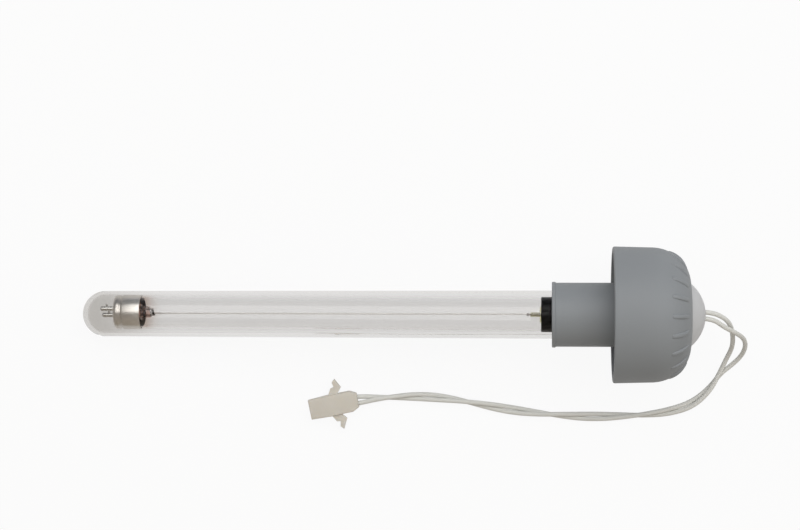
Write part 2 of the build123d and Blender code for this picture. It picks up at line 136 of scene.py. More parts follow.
# %% Routes of the two leads
twist_radius = 1.25
twist_height = 2.4
twist_step = 45.0                # degrees from one point of the route to the next
twist_start = -22.5
lead_drops = {
    1: [
        (154.6, -2.0, 32.8), (158.3, -6.5, 25.8), (160.3, -11.8, 17.8), (161.2, -16.4, 10.0),
        (159.3, -22.0, 5.0),
    ],
    -1: [
        (153.6, -5.8, 34.0), (160.4, -8.8, 28.6), (165.2, -11.7, 20.2), (167.4, -15.8, 11.6),
        (166.4, -20.6, 4.9), (162.0, -25.2, 1.8),
    ],
}
pair_route = [
    (157.0, -28.5), (151.6, -36.8), (143.4, -43.6), (132.8, -46.9), (121.8, -48.3), (111.1, -48.9),
    (100.9, -49.2), (90.6, -49.1), (80.4, -48.5), (70.4, -47.6), (60.4, -46.4), (50.6, -44.8),
    (40.8, -42.9), (31.2, -41.2), (21.9, -40.1), (12.5, -39.6), (3.0, -39.9), (-6.4, -40.4),
]


def strand_points(strand):
    """The twisted part of one strand: 1 starts on top, -1 below."""
    points = []
    for step, (x, y) in enumerate(pair_route):
        before = pair_route[max(step - 1, 0)]
        after = pair_route[min(step + 1, len(pair_route) - 1)]
        heading = Vector((after[0] - before[0], after[1] - before[1])).normalized()
        turn = math.radians(twist_start + twist_step * step)
        left = strand * twist_radius * math.sin(turn)
        up = twist_height + strand * twist_radius * math.cos(turn)
        points.append((x - heading.y * left, y + heading.x * left, up))
    return points


def axis_point(along, side):
    """A point beside the sleeve's axis, in millimetres."""
    return sleeve_place @ Vector((along * MM, 0, -side * MM)) / MM


print("points on the common route:", len(pair_route))

# %% Curves of the two leads
lead_diameter = 2.2
lead_side = 1.45                 # of each lead from the plug's middle
lead_joint = 285.5               # a lead's first point, in the plug, from the sleeve's tip
lead_outside = 293.1             # its second point, outside the plug
connector_face = (-38.1, -45.9)  # middle of the mating face, on the table
connector_turn = 11.8
connector_middle = 3.2
connector_pitch = 3.4
lead_stations = (23.2, 18.0)     # connector's rear and the lead's end in it, from the mating face
connector_spin = Matrix.Rotation(math.radians(connector_turn), 4, "Z")
connector_place = Matrix.Translation((*connector_face, 0)) @ connector_spin


def make_lead(name, strand):
    """One lead as a round NURBS curve."""
    side = strand * lead_side
    across = -strand * connector_pitch / 2
    points = [axis_point(lead_joint, side), axis_point(lead_outside, side)]
    points += [Vector(point) for point in lead_drops[strand] + strand_points(strand)]
    points += [connector_place @ Vector((x, across, connector_middle)) for x in lead_stations]
    curve = bpy.data.curves.new(name, "CURVE")
    curve.dimensions = "3D"
    curve.bevel_depth = lead_diameter / 2 * MM
    curve.bevel_resolution = 5
    curve.resolution_u = 10
    curve.use_fill_caps = True
    spline = curve.splines.new("NURBS")
    spline.points.add(len(points) - 1)
    for knot, point in zip(spline.points, points):
        knot.co = (*(point * MM), 1)
    spline.order_u = 3
    spline.use_endpoint_u = True
    lead = bpy.data.objects.new(name, curve)
    scene.collection.objects.link(lead)
    print(name, "points", len(points))
    return lead


lead_1 = make_lead("lead_1", 1)
lead_2 = make_lead("lead_2", -1)

# %% [markdown]
# ## Turned shapes
#
# Nearly everything on this lamp is round about one axis. Such pieces could be joined from cylinders
# and spheres, but a joint leaves seams and wrong walls. So they are made as on a lathe: a chain of
# edges is drawn in millimetres, with x along the axis and y out from it, and spin turns it into one
# closed surface. Arcs in the chain come from spinning a single vertex, and a third number at a corner
# is its rounding, which a bevel of that vertex makes.

# %% A chain of edges, and a lathe that turns it
corner_steps = 4
weld_distance = 0.0005


class Outline:
    """A chain of edges to be turned about the x axis."""

    def __init__(self, along, out):
        self.shape = bmesh.new()
        self.first = self.shape.verts.new((along, out, 0))
        self.last = self.first
        self.corners = []

    def to(self, along, out, rounding=0):
        """Draw an edge to a point."""
        vert = self.shape.verts.new((along, out, 0))
        self.shape.edges.new((self.last, vert))
        self.last = vert
        if rounding:
            self.corners.append((vert, rounding))
        return self

    def arc(self, along, out, degrees, squash=(1, 1), steps=24):
        """Spin the last point about a centre, then squash the arc towards that centre."""
        before = set(self.shape.verts)
        spun = bmesh.ops.spin(
            self.shape, geom=[self.last], cent=(along, out, 0), axis=(0, 0, 1),
            angle=math.radians(degrees), steps=steps,
        )
        made = [vert for vert in self.shape.verts if vert not in before]
        centre = Matrix.Translation((-along, -out, 0))
        bmesh.ops.scale(self.shape, vec=(*squash, 1), space=centre, verts=made)
        self.last = next(part for part in spun["geom_last"] if isinstance(part, bmesh.types.BMVert))
        return self

    def close(self):
        """Join the chain's last point to its first."""
        self.shape.edges.new((self.last, self.first))
        return self

    def turn(self, steps=128):
        """Round the corners, then turn the chain into a surface."""
        shape = self.shape
        for vert, rounding in self.corners:
            bmesh.ops.bevel(
                shape, geom=[vert], offset=rounding, segments=corner_steps, profile=0.5,
                affect="VERTICES", material=-1,
            )
        chain = shape.verts[:] + shape.edges[:]
        bmesh.ops.spin(
            shape, geom=chain, cent=(0, 0, 0), axis=(1, 0, 0), angle=2 * math.pi, steps=steps,
            use_merge=True,
        )
        bmesh.ops.remove_doubles(shape, verts=shape.verts, dist=weld_distance)
        bmesh.ops.recalc_face_normals(shape, faces=shape.faces)
        return shape


def finish_piece(name, shape, place, replaced, sharp=32):
    """Lay a shape in its place as a piece for a CAD node; edges over sharp degrees stay hard."""
    bmesh.ops.transform(shape, matrix=place @ Matrix.Scale(MM, 4), verts=shape.verts)
    mesh = bpy.data.meshes.new(name)
    shape.to_mesh(mesh)
    shape.free()
    mesh.shade_smooth()
    mesh.set_sharp_from_angle(angle=math.radians(sharp))
    piece = bpy.data.objects.new(name, mesh)
    scene.collection.objects.link(piece)
    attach(piece, "root")
    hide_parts(*replaced)
    print(name, "faces", len(mesh.polygons))
    return piece


# %% [markdown]
# ## Quartz sleeve
#
# The sleeve keeps water off the lamp. It is a thick tube, open at the holder and closed at the tip by
# a dome whose wall is about as thick as the tube's. It could be a surface with Solidify on it, but
# that makes an even wall, and here the outside widens a little towards the holder while the bore
# stays straight. Light bends at both, so both are drawn, in one chain from the outer pole to the
# inner one.

# %% Sleeve
sleeve_radius = 11.1             # at the mouth
sleeve_end = 251.8
bore_radius = 9.15
bore_depth = 8.65                # of the inner dome
dome_middle = 10.65              # where both domes end, and the outer dome's radius
dome_steps = 48
sleeve_steps = 192
lip_start = 220.1
sleeve_chain = Outline(0, 0).arc(dome_middle, 0, -90, steps=dome_steps)
sleeve_chain.to(lip_start, sleeve_radius).to(sleeve_end, sleeve_radius).to(sleeve_end, bore_radius)
sleeve_chain.to(dome_middle, bore_radius)
sleeve_chain.arc(dome_middle, 0, 90, squash=(bore_depth / bore_radius, 1), steps=dome_steps)
sleeve = finish_piece("sleeve", sleeve_chain.turn(sleeve_steps), sleeve_place, ["quartz_sleeve"])

# %% [markdown]
# ## Lamp glass
#
# The lamp is a thin glass tube that narrows at both ends to fit into its caps. A cylinder scaled in
# at its ends would do from afar, but the wall would change thickness. A closed chain, out along the
# outside and back along the inside, keeps the wall even and the swellings rounded.

# %% Lamp tube
cap_length = 12.6
glass_seat = 5.0                 # from a cap's face to the end of the glass in it
seat_radius = 7.65
glass_radius = 8.0
glass_wall = 0.8
swell_length = 2.6
tube_steps = 160
swell = 1.2                      # rounding where the glass swells
glass_end = lamp_length - glass_seat
tip_swell = (cap_length, cap_length + swell_length)
far_swell = (lamp_length - tip_swell[0], lamp_length - tip_swell[1])
inner_seat = seat_radius - glass_wall
inner_glass = glass_radius - glass_wall
tube_chain = Outline(glass_seat, seat_radius)
tube_chain.to(tip_swell[0], seat_radius, swell).to(tip_swell[1], glass_radius, swell)
tube_chain.to(far_swell[1], glass_radius, swell).to(far_swell[0], seat_radius, swell)
tube_chain.to(glass_end, seat_radius).to(glass_end, inner_seat)
tube_chain.to(far_swell[0], inner_seat, swell).to(far_swell[1], inner_glass, swell)
tube_chain.to(tip_swell[1], inner_glass, swell).to(tip_swell[0], inner_seat, swell)
tube_chain.to(glass_seat, inner_seat).close()
tube = finish_piece("tube", tube_chain.turn(tube_steps), lamp_place, ["lamp_tube"])

# %% [markdown]
# ## End caps
#
# The cap at the tip is drawn from thin metal: a rolled bead holds the insulating disc, a groove
# follows it, and a plain skirt grips the glass. The other cap is a plain black moulding with a floor.
# Both could be bevelled cylinders, but the bead and the groove are what catch the light on the real
# cap, so each corner of the chain gets its own rounding.

# %% Metal cap and black cap
cap_radius = 8.1
bead_radius = cap_radius - 0.2
bead_face = bead_radius - 0.35   # where the bead rolls into the face
bead_crest = (1.2, 2.4)          # stations of the bead's crest
groove_radius = cap_radius - 0.65
groove = (3.0, 3.7)
skirt_start = 4.2
inner_skirt = 4.3
inner_groove = groove_radius - 0.4
disc_seat = 6.45
disc_recess = 0.6
face_opening = 6.0
cap_chain = Outline(0, face_opening).to(0, bead_face, 0.7).to(bead_crest[0], bead_radius, 0.3)
cap_chain.to(bead_crest[1], bead_radius, 0.4)
cap_chain.to(groove[0], groove_radius, 0.2).to(groove[1], groove_radius, 0.15)
cap_chain.to(skirt_start, cap_radius, 0.25).to(cap_length, cap_radius, 0.12)
cap_chain.to(cap_length, seat_radius).to(inner_skirt, seat_radius)
cap_chain.to(groove[1], inner_groove).to(bead_crest[1], inner_groove).to(bead_crest[1], disc_seat)
cap_chain.to(disc_recess, disc_seat).to(disc_recess, face_opening).close()
metal_cap = finish_piece("metal_cap", cap_chain.turn(), tip_place, ["tip_end_cap"])

cap_floor = 1.8
black_chain = Outline(0, 0).to(0, cap_radius, 0.4).to(cap_length, cap_radius, 0.2)
black_chain.to(cap_length, seat_radius).to(cap_floor, seat_radius).to(cap_floor, 0)
black_cap = finish_piece("black_cap", black_chain.turn(), far_place, ["holder_end_cap"])

# %% [markdown]
# ## Cathode coils
#
# At each end of the lamp a fine coil of coated wire hangs between two wires. A curve along a helix
# could make it, but spin can also move what it turns, so a small circle that is spun and moved along
# the axis at once leaves a coil with closed ends.

# %% Coils at both ends
coil_turns = 8
coil_length = 4.15
coil_radius = 0.42
coil_wire = 0.17
coil_sides = 8
turn_steps = 20
coil_sharp = 60
tip_reach = 17.6                 # from a cap's face to its coil
far_reach = 18.7


def make_coil(name, place, reach, replaced):
    """A coil across the two wires of one cathode."""
    shape = bmesh.new()
    bmesh.ops.create_circle(shape, cap_ends=True, radius=coil_wire, segments=coil_sides)
    bmesh.ops.translate(shape, vec=(coil_radius, -coil_length / 2, 0), verts=shape.verts)
    bmesh.ops.spin(
        shape, geom=shape.verts[:] + shape.edges[:] + shape.faces[:], cent=(0, 0, 0), axis=(0, 1, 0),
        dvec=(0, coil_length / coil_turns / turn_steps, 0), angle=2 * math.pi * coil_turns,
        steps=coil_turns * turn_steps,
    )
    bmesh.ops.recalc_face_normals(shape, faces=shape.faces)
    hung = place @ Matrix.Translation((reach * MM, 0, 0))
    return finish_piece(name, shape, hung, [replaced], sharp=coil_sharp)


tip_coil = make_coil("tip_coil", tip_place, tip_reach, "tip_filament")
far_coil = make_coil("far_coil", far_place, far_reach, "holder_filament")

# %% [markdown]
# ## The holder
#
# The holder is one grey moulding: a neck with a small bead around its mouth, and a bell that opens
# towards the tip and closes in a rounded back. Neck and bell could be two pieces joined by a boolean,
# but the mould made them at once, so one chain runs under the bell's roof, along the neck, through
# the bores and over the back to the rim.

# %% Neck and bell
neck_radius = 14.75
lip_radius = 15.15
lip_end = 221.8
rim_start = 247.9
rim_radius = 31.45
bell_wall = 2.7
shoulder = 265.2
back_radius = 14.9
back_end = 283.2
shoulder_depth = 18.0
shoulder_height = 16.1
roof_thickness = 3.4
plug_front = 274.5
shank_radius = 12.0
back_steps = 32
bell_steps = 192
roof_depth = shoulder_depth - roof_thickness
roof_height = shoulder_height - bell_wall
roof_arc = 90 - math.degrees(math.asin((neck_radius - back_radius) / roof_height))
bell_chain = Outline(shoulder, back_radius + roof_height)
bell_chain.arc(shoulder, back_radius, -roof_arc, squash=(roof_depth / roof_height, 1))
bell_chain.to(lip_end, neck_radius, 0.2).to(lip_end, lip_radius, 0.3).to(lip_start, lip_radius, 0.45)
bell_chain.to(lip_start, sleeve_radius, 0.3).to(sleeve_end, sleeve_radius).to(sleeve_end, bore_radius)
bell_chain.to(plug_front, bore_radius).to(plug_front, shank_radius).to(back_end, shank_radius)
bell_chain.to(back_end, back_radius)
back_squash = (1, shoulder_height / shoulder_depth)
bell_chain.arc(shoulder, back_radius, 90, squash=back_squash, steps=back_steps)
bell_chain.to(rim_start, rim_radius, 0.85).to(rim_start, rim_radius - bell_wall, 0.35).close()
bell_shape = bell_chain.turn(bell_steps)
print("bell faces", len(bell_shape.faces))

# %% [markdown]
# ## Grip ribs
#
# Short ribs on the bell's back give the fingers a hold, and each one rises from the back and sinks
# into it again. A bump in the material would not show in the outline, so they are geometry. A rib
# starts as an arc, a vertex spun along a smaller copy of the shoulder, so that both its ends dip
# under the surface. The arc is pulled sideways into a strip, solidify gives it depth, a bevel rounds
# its crest, and a last spin copies it all around the bell.

# %% Ribs around the bell
rib_count = 20
rib_middle = math.radians(45.0)
rib_reach = math.radians(30.0)   # half of a rib, on its own smaller arc
rib_bow = 0.65                   # size of that arc beside the shoulder's
rib_steps = 12
rib_width = 2.2
rib_proud = 0.75
rib_depth = 1.6
crest_angle = math.radians(50)
crest_rounding = 0.9
crest_steps = 5
rib_shape = bmesh.new()
rib_turn = Matrix.Rotation(rib_middle - rib_reach, 4, "Z")
rib_start = rib_turn.inverted() @ Vector((0, 1, -rib_width / 2 / shoulder_height))
bmesh.ops.spin(
    rib_shape, geom=[rib_shape.verts.new(rib_start)], cent=(0, 0, 0), axis=(0, 0, 1),
    angle=-2 * rib_reach, steps=rib_steps,
)
pulled = bmesh.ops.extrude_edge_only(rib_shape, edges=rib_shape.edges[:])
pulled_verts = [part for part in pulled["geom"] if isinstance(part, bmesh.types.BMVert)]
bmesh.ops.translate(rib_shape, vec=(0, 0, rib_width / shoulder_height), verts=pulled_verts)
rib_size = (rib_bow * shoulder_depth, rib_bow * shoulder_height, shoulder_height)
bmesh.ops.scale(rib_shape, vec=rib_size, verts=rib_shape.verts)
rib_along = shoulder + ((1 - rib_bow) * shoulder_depth + rib_proud) * math.sin(rib_middle)
rib_out = back_radius + ((1 - rib_bow) * shoulder_height + rib_proud) * math.cos(rib_middle)
bmesh.ops.translate(rib_shape, vec=(rib_along, rib_out, 0), verts=rib_shape.verts)
bmesh.ops.solidify(rib_shape, geom=rib_shape.faces[:], thickness=rib_depth)
crest_edges = [edge for edge in rib_shape.edges if edge.calc_face_angle(0) > crest_angle]
bmesh.ops.bevel(
    rib_shape, geom=crest_edges, offset=crest_rounding, segments=crest_steps, profile=0.5,
    affect="EDGES", material=-1, clamp_overlap=True,
)
one_rib = rib_shape.verts[:] + rib_shape.edges[:] + rib_shape.faces[:]
bmesh.ops.spin(
    rib_shape, geom=one_rib, cent=(0, 0, 0), axis=(1, 0, 0),
    angle=2 * math.pi * (rib_count - 1) / rib_count, steps=rib_count - 1, use_duplicate=True,
)
bmesh.ops.recalc_face_normals(rib_shape, faces=rib_shape.faces)
rib_mesh = bpy.data.meshes.new("ribs")
rib_shape.to_mesh(rib_mesh)
rib_shape.free()
bell_shape.from_mesh(rib_mesh)
bell = finish_piece("bell", bell_shape, sleeve_place, ["holder"])

# %% [markdown]
# ## Rear plug
#
# A shallow white dome closes the bell, and the leads come out at its top. A scaled half sphere would
# be steep at its edge, but this dome is a slice of a large ball. So a vertex at the top is spun about
# that ball's centre, and the shank inside the bell follows in the same chain.

# %% Dome of the plug
plug_top = 290.2                 # from the sleeve's tip
dome_radius = 14.6
dome_height = 7.0
plug_steps = 32
dome_sphere = (dome_radius**2 + dome_height**2) / (2 * dome_height)
dome_arc = math.degrees(math.asin(dome_radius / dome_sphere))
dome_chain = Outline(plug_top, 0).arc(plug_top - dome_sphere, 0, dome_arc, steps=plug_steps)
dome_chain.to(back_end, shank_radius).to(plug_front, shank_radius).to(plug_front, 0)
dome = finish_piece("dome", dome_chain.turn(), sleeve_place, ["rear_plug"])

# %% [markdown]
# ## The connector
#
# The nylon housing with its two snap wings has the right shape already, but its edges are sharp, and
# a moulding's never are. It could be drawn again from a cube. A copy of its mesh is quicker and stays
# true to size: it is merged, its flat faces are joined, and a bevel softens the edges.

# %% Softened housing
housing_weld = 1e-6
flat_angle = math.radians(1)
edge_angle = math.radians(35)
edge_softness = 0.18
edge_steps = 3
housing_shape = bmesh.new()
housing_shape.from_mesh(nodes["plug_housing"].data)
bmesh.ops.remove_doubles(housing_shape, verts=housing_shape.verts, dist=housing_weld)
bmesh.ops.dissolve_limit(
    housing_shape, angle_limit=flat_angle, verts=housing_shape.verts, edges=housing_shape.edges,
)
housing_edges = [edge for edge in housing_shape.edges if edge.calc_face_angle(0) > edge_angle]
bmesh.ops.bevel(
    housing_shape, geom=housing_edges, offset=edge_softness * MM, segments=edge_steps, profile=0.5,
    affect="EDGES", material=-1, clamp_overlap=True,
)
bmesh.ops.scale(housing_shape, vec=(1 / MM, 1 / MM, 1 / MM), verts=housing_shape.verts)
housing = finish_piece(
    "housing", housing_shape, Matrix.Identity(4), ["plug_housing"],
)

# %% [markdown]
# ## Finishes
#
# A material is a tree of nodes. Every node could be added and linked by hand, but the sums would be
# hard to read. Two small classes keep them readable: a socket that takes part in Python expressions,
# so that a sum of two sockets adds a Math node, and a finish that adds any other node with one method.

# %% Sockets
class Socket:
    """A shader output that takes part in Python expressions."""

    def __init__(self, finish, output):
        self.finish = finish
        self.output = output

    def math(self, operation, first, second=0.0):
        """Add a Math node."""
        return self.finish.node("ShaderNodeMath", {"operation": operation}, {0: first, 1: second})

    def sine(self):
        """The sine of this socket."""
        return self.math("SINE", self)

    def __add__(self, other):
        return self.math("ADD", self, other)

    def __radd__(self, other):
        return self.math("ADD", other, self)

    def __sub__(self, other):
        return self.math("SUBTRACT", self, other)

    def __rsub__(self, other):
        return self.math("SUBTRACT", other, self)

    def __mul__(self, other):
        return self.math("MULTIPLY", self, other)

    def __rmul__(self, other):
        return self.math("MULTIPLY", other, self)


# %% Finishes made of nodes
class Finish:
    """A material with one main shader."""

    def __init__(self, name, **constants):
        self.material = bpy.data.materials.new(name)
        self.material.use_nodes = True
        self.tree = self.material.node_tree
        self.shader = self.tree.nodes["Principled BSDF"]
        self.set(constants)

    def set(self, values):
        """Set or link the main shader's sockets; an underscore stands for a space."""
        for name, value in values.items():
            self.connect(self.shader.inputs[name.replace("_", " ")], value)

    def connect(self, socket, value):
        """Link a socket to another, or give it a value."""
        if isinstance(value, Socket):
            self.tree.links.new(value.output, socket)
        else:
            socket.default_value = value

    def node(self, kind, settings=None, inputs=None, output=0):
        """Add a node: its settings first, then the values or links of its sockets."""
        made = self.tree.nodes.new(kind)
        for name, value in (settings or {}).items():
            setattr(made, name, value)
        for key, value in (inputs or {}).items():
            self.connect(made.inputs[key], value)
        return Socket(self, made.outputs[output])

    def spot(self):
        """Where a point is on the piece, in metres."""
        return self.node("ShaderNodeTexCoord", output="Object")

    def noise(self, scale, detail=3.0, place=None):
        """Noise in cycles to the metre; with a place it has a scale for x, y and z, and then a turn."""
        where = self.spot()
        if place is not None:
            turn = place.inverted().to_euler()
            where = self.node(
                "ShaderNodeMapping", inputs={"Vector": where, "Rotation": turn, "Scale": scale},
            )
            scale = 1.0
        return self.node("ShaderNodeTexNoise", inputs={"Vector": where, "Scale": scale, "Detail": detail})

    def fade(self, place, start, end):
        """0 before a station on a place's axis and 1 beyond another; stations are in millimetres."""
        away = self.node(
            "ShaderNodeVectorMath", {"operation": "SUBTRACT"}, {0: self.spot(), 1: place.translation},
        )
        along = self.node(
            "ShaderNodeVectorMath", {"operation": "DOT_PRODUCT"}, {0: away, 1: place.to_3x3().col[0]},
            output="Value",
        )
        return self.smooth_step(along, start * MM, end * MM)

    def smooth_step(self, value, start, end):
        """A soft step from 0 to 1."""
        return self.node(
            "ShaderNodeMapRange", {"interpolation_type": "SMOOTHSTEP"},
            {"Value": value, "From Min": start, "From Max": end},
        )

    def mix(self, factor, first, second):
        """Mix two colours; 6, 7 and 2 are the Mix node's colour sockets."""
        return self.node(
            "ShaderNodeMix", {"data_type": "RGBA"}, {0: factor, 6: first, 7: second}, output=2,
        )

    def bump(self, height, strength, distance):
        """A bump for the main shader's normal; the distance is in millimetres."""
        self.set({"Normal": self.node(
            "ShaderNodeBump",
            inputs={"Height": height, "Strength": strength, "Distance": distance * MM},
        )})


def dress(finish, *pieces):
    """Give pieces a finish."""
    for piece in pieces:
        piece.data.materials.clear()
        piece.data.materials.append(finish.material)
    print(finish.material.name, "on", [piece.name for piece in pieces])


# %% [markdown]
# ### Clear glass
#
# Quartz and lamp glass let nearly all light through and bend it. A see-through mix would be faster,
# but it bends nothing, and the pieces inside would look painted on. So both are true transmission, and
# a ray is allowed enough bounces to cross all the walls. The base colour holds the little that a wall
# takes away, and more: the sleeve is darker towards its tip, which is painted shade for the dark
# surroundings that its thick dome shows, the lamp's glass is dim and brown beside the metal cap, and the
# stems inside are tinted more. Reflections on the sleeve and the tube are weakened, because the
# photograph shows little of them. A faint noise on the roughness stands for finger marks.

# %% Quartz and lamp glass
glass_bounces = 32
mirror_bounces = 16
scene.cycles.max_bounces = glass_bounces
scene.cycles.transmission_bounces = glass_bounces
scene.cycles.glossy_bounces = mirror_bounces

quartz = Finish("quartz", Transmission_Weight=1.0, IOR=1.46, Specular_Tint=(0.12, 0.12, 0.12, 1))
# Painted shade: the sleeve's base colour darkens towards its tip, for the darker surroundings that the
# thick dome shows.
tip_shade_fade = quartz.fade(sleeve_place, 4.0, 45.0)
quartz.set({
    "Base_Color": quartz.mix(tip_shade_fade, (0.79, 0.78, 0.765, 1), (0.95, 0.95, 0.95, 1)),
    "Roughness": 0.03 * quartz.noise(60.0),
})
dress(quartz, sleeve)

lamp_glass = Finish("lamp_glass", Transmission_Weight=1.0, IOR=1.5, Specular_Tint=(0.6, 0.6, 0.6, 1))
lamp_ends = lamp_glass.fade(lamp_place, 11.0, 20.0)
lamp_glass.set({
    "Base_Color": lamp_glass.mix(lamp_ends, (0.77, 0.68, 0.63, 1), (0.96, 0.957, 0.955, 1)),
    "Roughness": 0.03 * lamp_glass.noise(45.0),
})
dress(lamp_glass, tube)

# %% Glass of the two stems
stem_glass = Finish("stem_glass", Base_Color=(0.62, 0.47, 0.42, 1), Transmission_Weight=1.0, IOR=1.5)
stem_glass.set({"Roughness": 0.05 + 0.05 * stem_glass.noise(300.0)})
dress(stem_glass, nodes["tip_stem"])

press_glass = Finish("press_glass", Base_Color=(0.70, 0.68, 0.46, 1), Transmission_Weight=1.0, IOR=1.5)
press_glass.set({"Roughness": 0.08 + 0.05 * press_glass.noise(300.0)})
dress(press_glass, nodes["holder_stem"])

# %% [markdown]
# ### Metals
#
# The cap is drawn metal, so its fine lines run around the axis. Anisotropy could stand for them, but
# noise also varies the gloss from line to line. It is squeezed along x, which lies within a few
# degrees of the cap's axis. The pins are bright, the wires are duller, the coated coil is dark, and
# the wire that runs back under the lamp is tinned.

# %% Cap and pins
cap_metal = Finish("cap_metal", Metallic=1.0)
cap_rings = cap_metal.noise((2500.0, 20.0, 20.0), place=tip_place)
cap_stain = cap_metal.noise(180.0)
cap_metal.set({
    "Base_Color": cap_metal.mix(cap_stain, (0.70, 0.66, 0.61, 1), (0.86, 0.84, 0.80, 1)),
    "Roughness": 0.24 + 0.14 * cap_rings,
})
cap_metal.bump(cap_rings, 0.08, 0.03)
dress(cap_metal, metal_cap)

pin_metal = Finish("pin_metal", Base_Color=(0.66, 0.65, 0.63, 1), Metallic=1.0)
pin_metal.set({"Roughness": 0.08 + 0.10 * pin_metal.noise(900.0)})
dress(pin_metal, nodes["tip_cap_pins"], nodes["holder_cap_pins"])

# %% Wires, coils and contacts
wire_metal = Finish("wire_metal", Base_Color=(0.42, 0.38, 0.35, 1), Metallic=1.0)
wire_metal.set({"Roughness": 0.3 + 0.2 * wire_metal.noise(1200.0)})
dress(wire_metal, nodes["tip_lead_wires"], nodes["holder_lead_wires"])

tinned_wire = Finish("tinned_wire", Base_Color=(0.90, 0.88, 0.84, 1), Metallic=1.0)
tinned_wire.set({"Roughness": 0.30 + 0.12 * tinned_wire.noise(1200.0)})
dress(tinned_wire, nodes["return_wire"])

coil_metal = Finish("coil_metal", Metallic=0.4)
coil_specks = coil_metal.noise(2500.0)
coil_metal.set({
    "Base_Color": coil_metal.mix(coil_specks, (0.05, 0.035, 0.03, 1), (0.24, 0.18, 0.15, 1)),
    "Roughness": 0.55 + 0.3 * coil_specks,
})
dress(coil_metal, tip_coil, far_coil)

contact_metal = Finish("contact_metal", Base_Color=(0.68, 0.62, 0.48, 1), Metallic=1.0)
contact_metal.set({"Roughness": 0.22 + 0.18 * contact_metal.noise(1100.0)})
dress(contact_metal, nodes["pin_contacts"], nodes["splice_crimp"], nodes["plug_contacts"])

# %% [markdown]
# ### Mouldings
#
# The grey holder has a fine, even mould grain and a very soft gloss. One flat grey would look sprayed
# on, so a larger, weaker noise shifts its colour, and a fine one makes the grain. The black cap is
# darker and smoother, the white dome is satin, the disc in the metal cap is brown fibre board, and the
# carrier hidden in the holder is plain white.

# %% Holder and black cap
holder_grey = Finish("holder_grey", Specular_IOR_Level=0.4)
grey_clouds = holder_grey.noise(35.0)
grey_grain = holder_grey.noise(2600.0, detail=2.0)
holder_grey.set({
    "Base_Color": holder_grey.mix(grey_clouds, (0.240, 0.257, 0.270, 1), (0.274, 0.290, 0.303, 1)),
    "Roughness": 0.46 + 0.14 * grey_grain,
})
holder_grey.bump(grey_grain, 0.25, 0.08)
dress(holder_grey, bell)

black_moulding = Finish("black_moulding", Specular_IOR_Level=0.08)
black_wear = black_moulding.noise(220.0)
black_moulding.set({
    "Base_Color": black_moulding.mix(black_wear, (0.003, 0.003, 0.0035, 1), (0.010, 0.009, 0.008, 1)),
    "Roughness": 0.25 + 0.2 * black_wear,
})
dress(black_moulding, black_cap)

# %% Dome, disc and carrier
dome_white = Finish("dome_white", Specular_IOR_Level=0.45)
white_clouds = dome_white.noise(60.0)
dome_white.set({
    "Base_Color": dome_white.mix(white_clouds, (0.53, 0.54, 0.55, 1), (0.60, 0.605, 0.61, 1)),
    "Roughness": 0.36 + 0.12 * dome_white.noise(1500.0),
})
dress(dome_white, dome)

disc_brown = Finish("disc_brown", Roughness=0.6)
disc_fibre = disc_brown.noise(1400.0)
disc_brown.set({
    "Base_Color": disc_brown.mix(disc_fibre, (0.16, 0.10, 0.06, 1), (0.32, 0.22, 0.14, 1)),
})
dress(disc_brown, nodes["tip_cap_disc"])

carrier_white = Finish("carrier_white", Roughness=0.5)
carrier_clouds = carrier_white.noise(150.0)
carrier_white.set({
    "Base_Color": carrier_white.mix(carrier_clouds, (0.52, 0.52, 0.51, 1), (0.62, 0.62, 0.61, 1)),
})
dress(carrier_white, nodes["pin_carrier"])

# %% [markdown]
# ### Leads and connector
#
# The leads wear a fine braid of white yarn. Yarns could be modelled, but at this size they are a
# texture. The curve's own map runs along and around the lead, so two sets of slanted waves on that
# map cross like the yarns, and they follow every bend. The nylon of the connector is warm and lets a
# little light in, so it takes some subsurface light and some transmission.

# %% Braid and nylon
yarn_turns = 50
yarn_count = 6
waves_along = 2 * math.pi * yarn_count * yarn_turns
waves_around = 2 * math.pi * yarn_count
braid = Finish("braid", Specular_IOR_Level=0.4)
braid_map = braid.node("ShaderNodeTexCoord", output="UV")
lead_along = braid.node("ShaderNodeSeparateXYZ", inputs={"Vector": braid_map}, output="X")
lead_around = braid.node("ShaderNodeSeparateXYZ", inputs={"Vector": braid_map}, output="Y")
left_yarn = (waves_along * lead_along + waves_around * lead_around).sine()
right_yarn = (waves_along * lead_along - waves_around * lead_around).sine()
yarn = 0.5 + 0.5 * left_yarn * right_yarn
braid.set({
    "Base_Color": braid.mix(yarn, (0.60, 0.60, 0.56, 1), (0.80, 0.80, 0.765, 1)),
    "Roughness": 0.55 + 0.2 * yarn,
})
braid.bump(yarn, 0.4, 0.1)
dress(braid, lead_1, lead_2, nodes["inner_leads"])

nylon = Finish(
    "nylon", Subsurface_Weight=0.25, Subsurface_Radius=(1.0, 0.8, 0.6), Subsurface_Scale=0.002,
    Transmission_Weight=0.16,
)
nylon_clouds = nylon.noise(120.0)
nylon.set({
    "Base_Color": nylon.mix(nylon_clouds, (0.685, 0.645, 0.565, 1), (0.765, 0.725, 0.645, 1)),
    "Roughness": 0.34 + 0.14 * nylon.noise(1300.0),
})
dress(nylon, housing)

# %% [markdown]
# ## Table
#
# The photograph stands on plain white. More light would bleach the lamp too, so the table glows white
# for the camera alone and keeps a small share of its plain surface, which holds the shadow. Metal and
# glass see it as well, but as a studio table: bright near the lamp, and further off cool on the far
# side and warm on the near side, which gives the tube its bands.

# %% Table
floor_half = 3.0
floor_drop = 0.0002
floor_shape = bmesh.new()
bmesh.ops.create_grid(floor_shape, x_segments=1, y_segments=1, size=floor_half)
floor_mesh = bpy.data.meshes.new("table")
floor_shape.to_mesh(floor_mesh)
floor_shape.free()
floor = bpy.data.objects.new("table", floor_mesh)
floor.location.z = -floor_drop
scene.collection.objects.link(floor)
print("table", 2 * floor_half, "m wide")

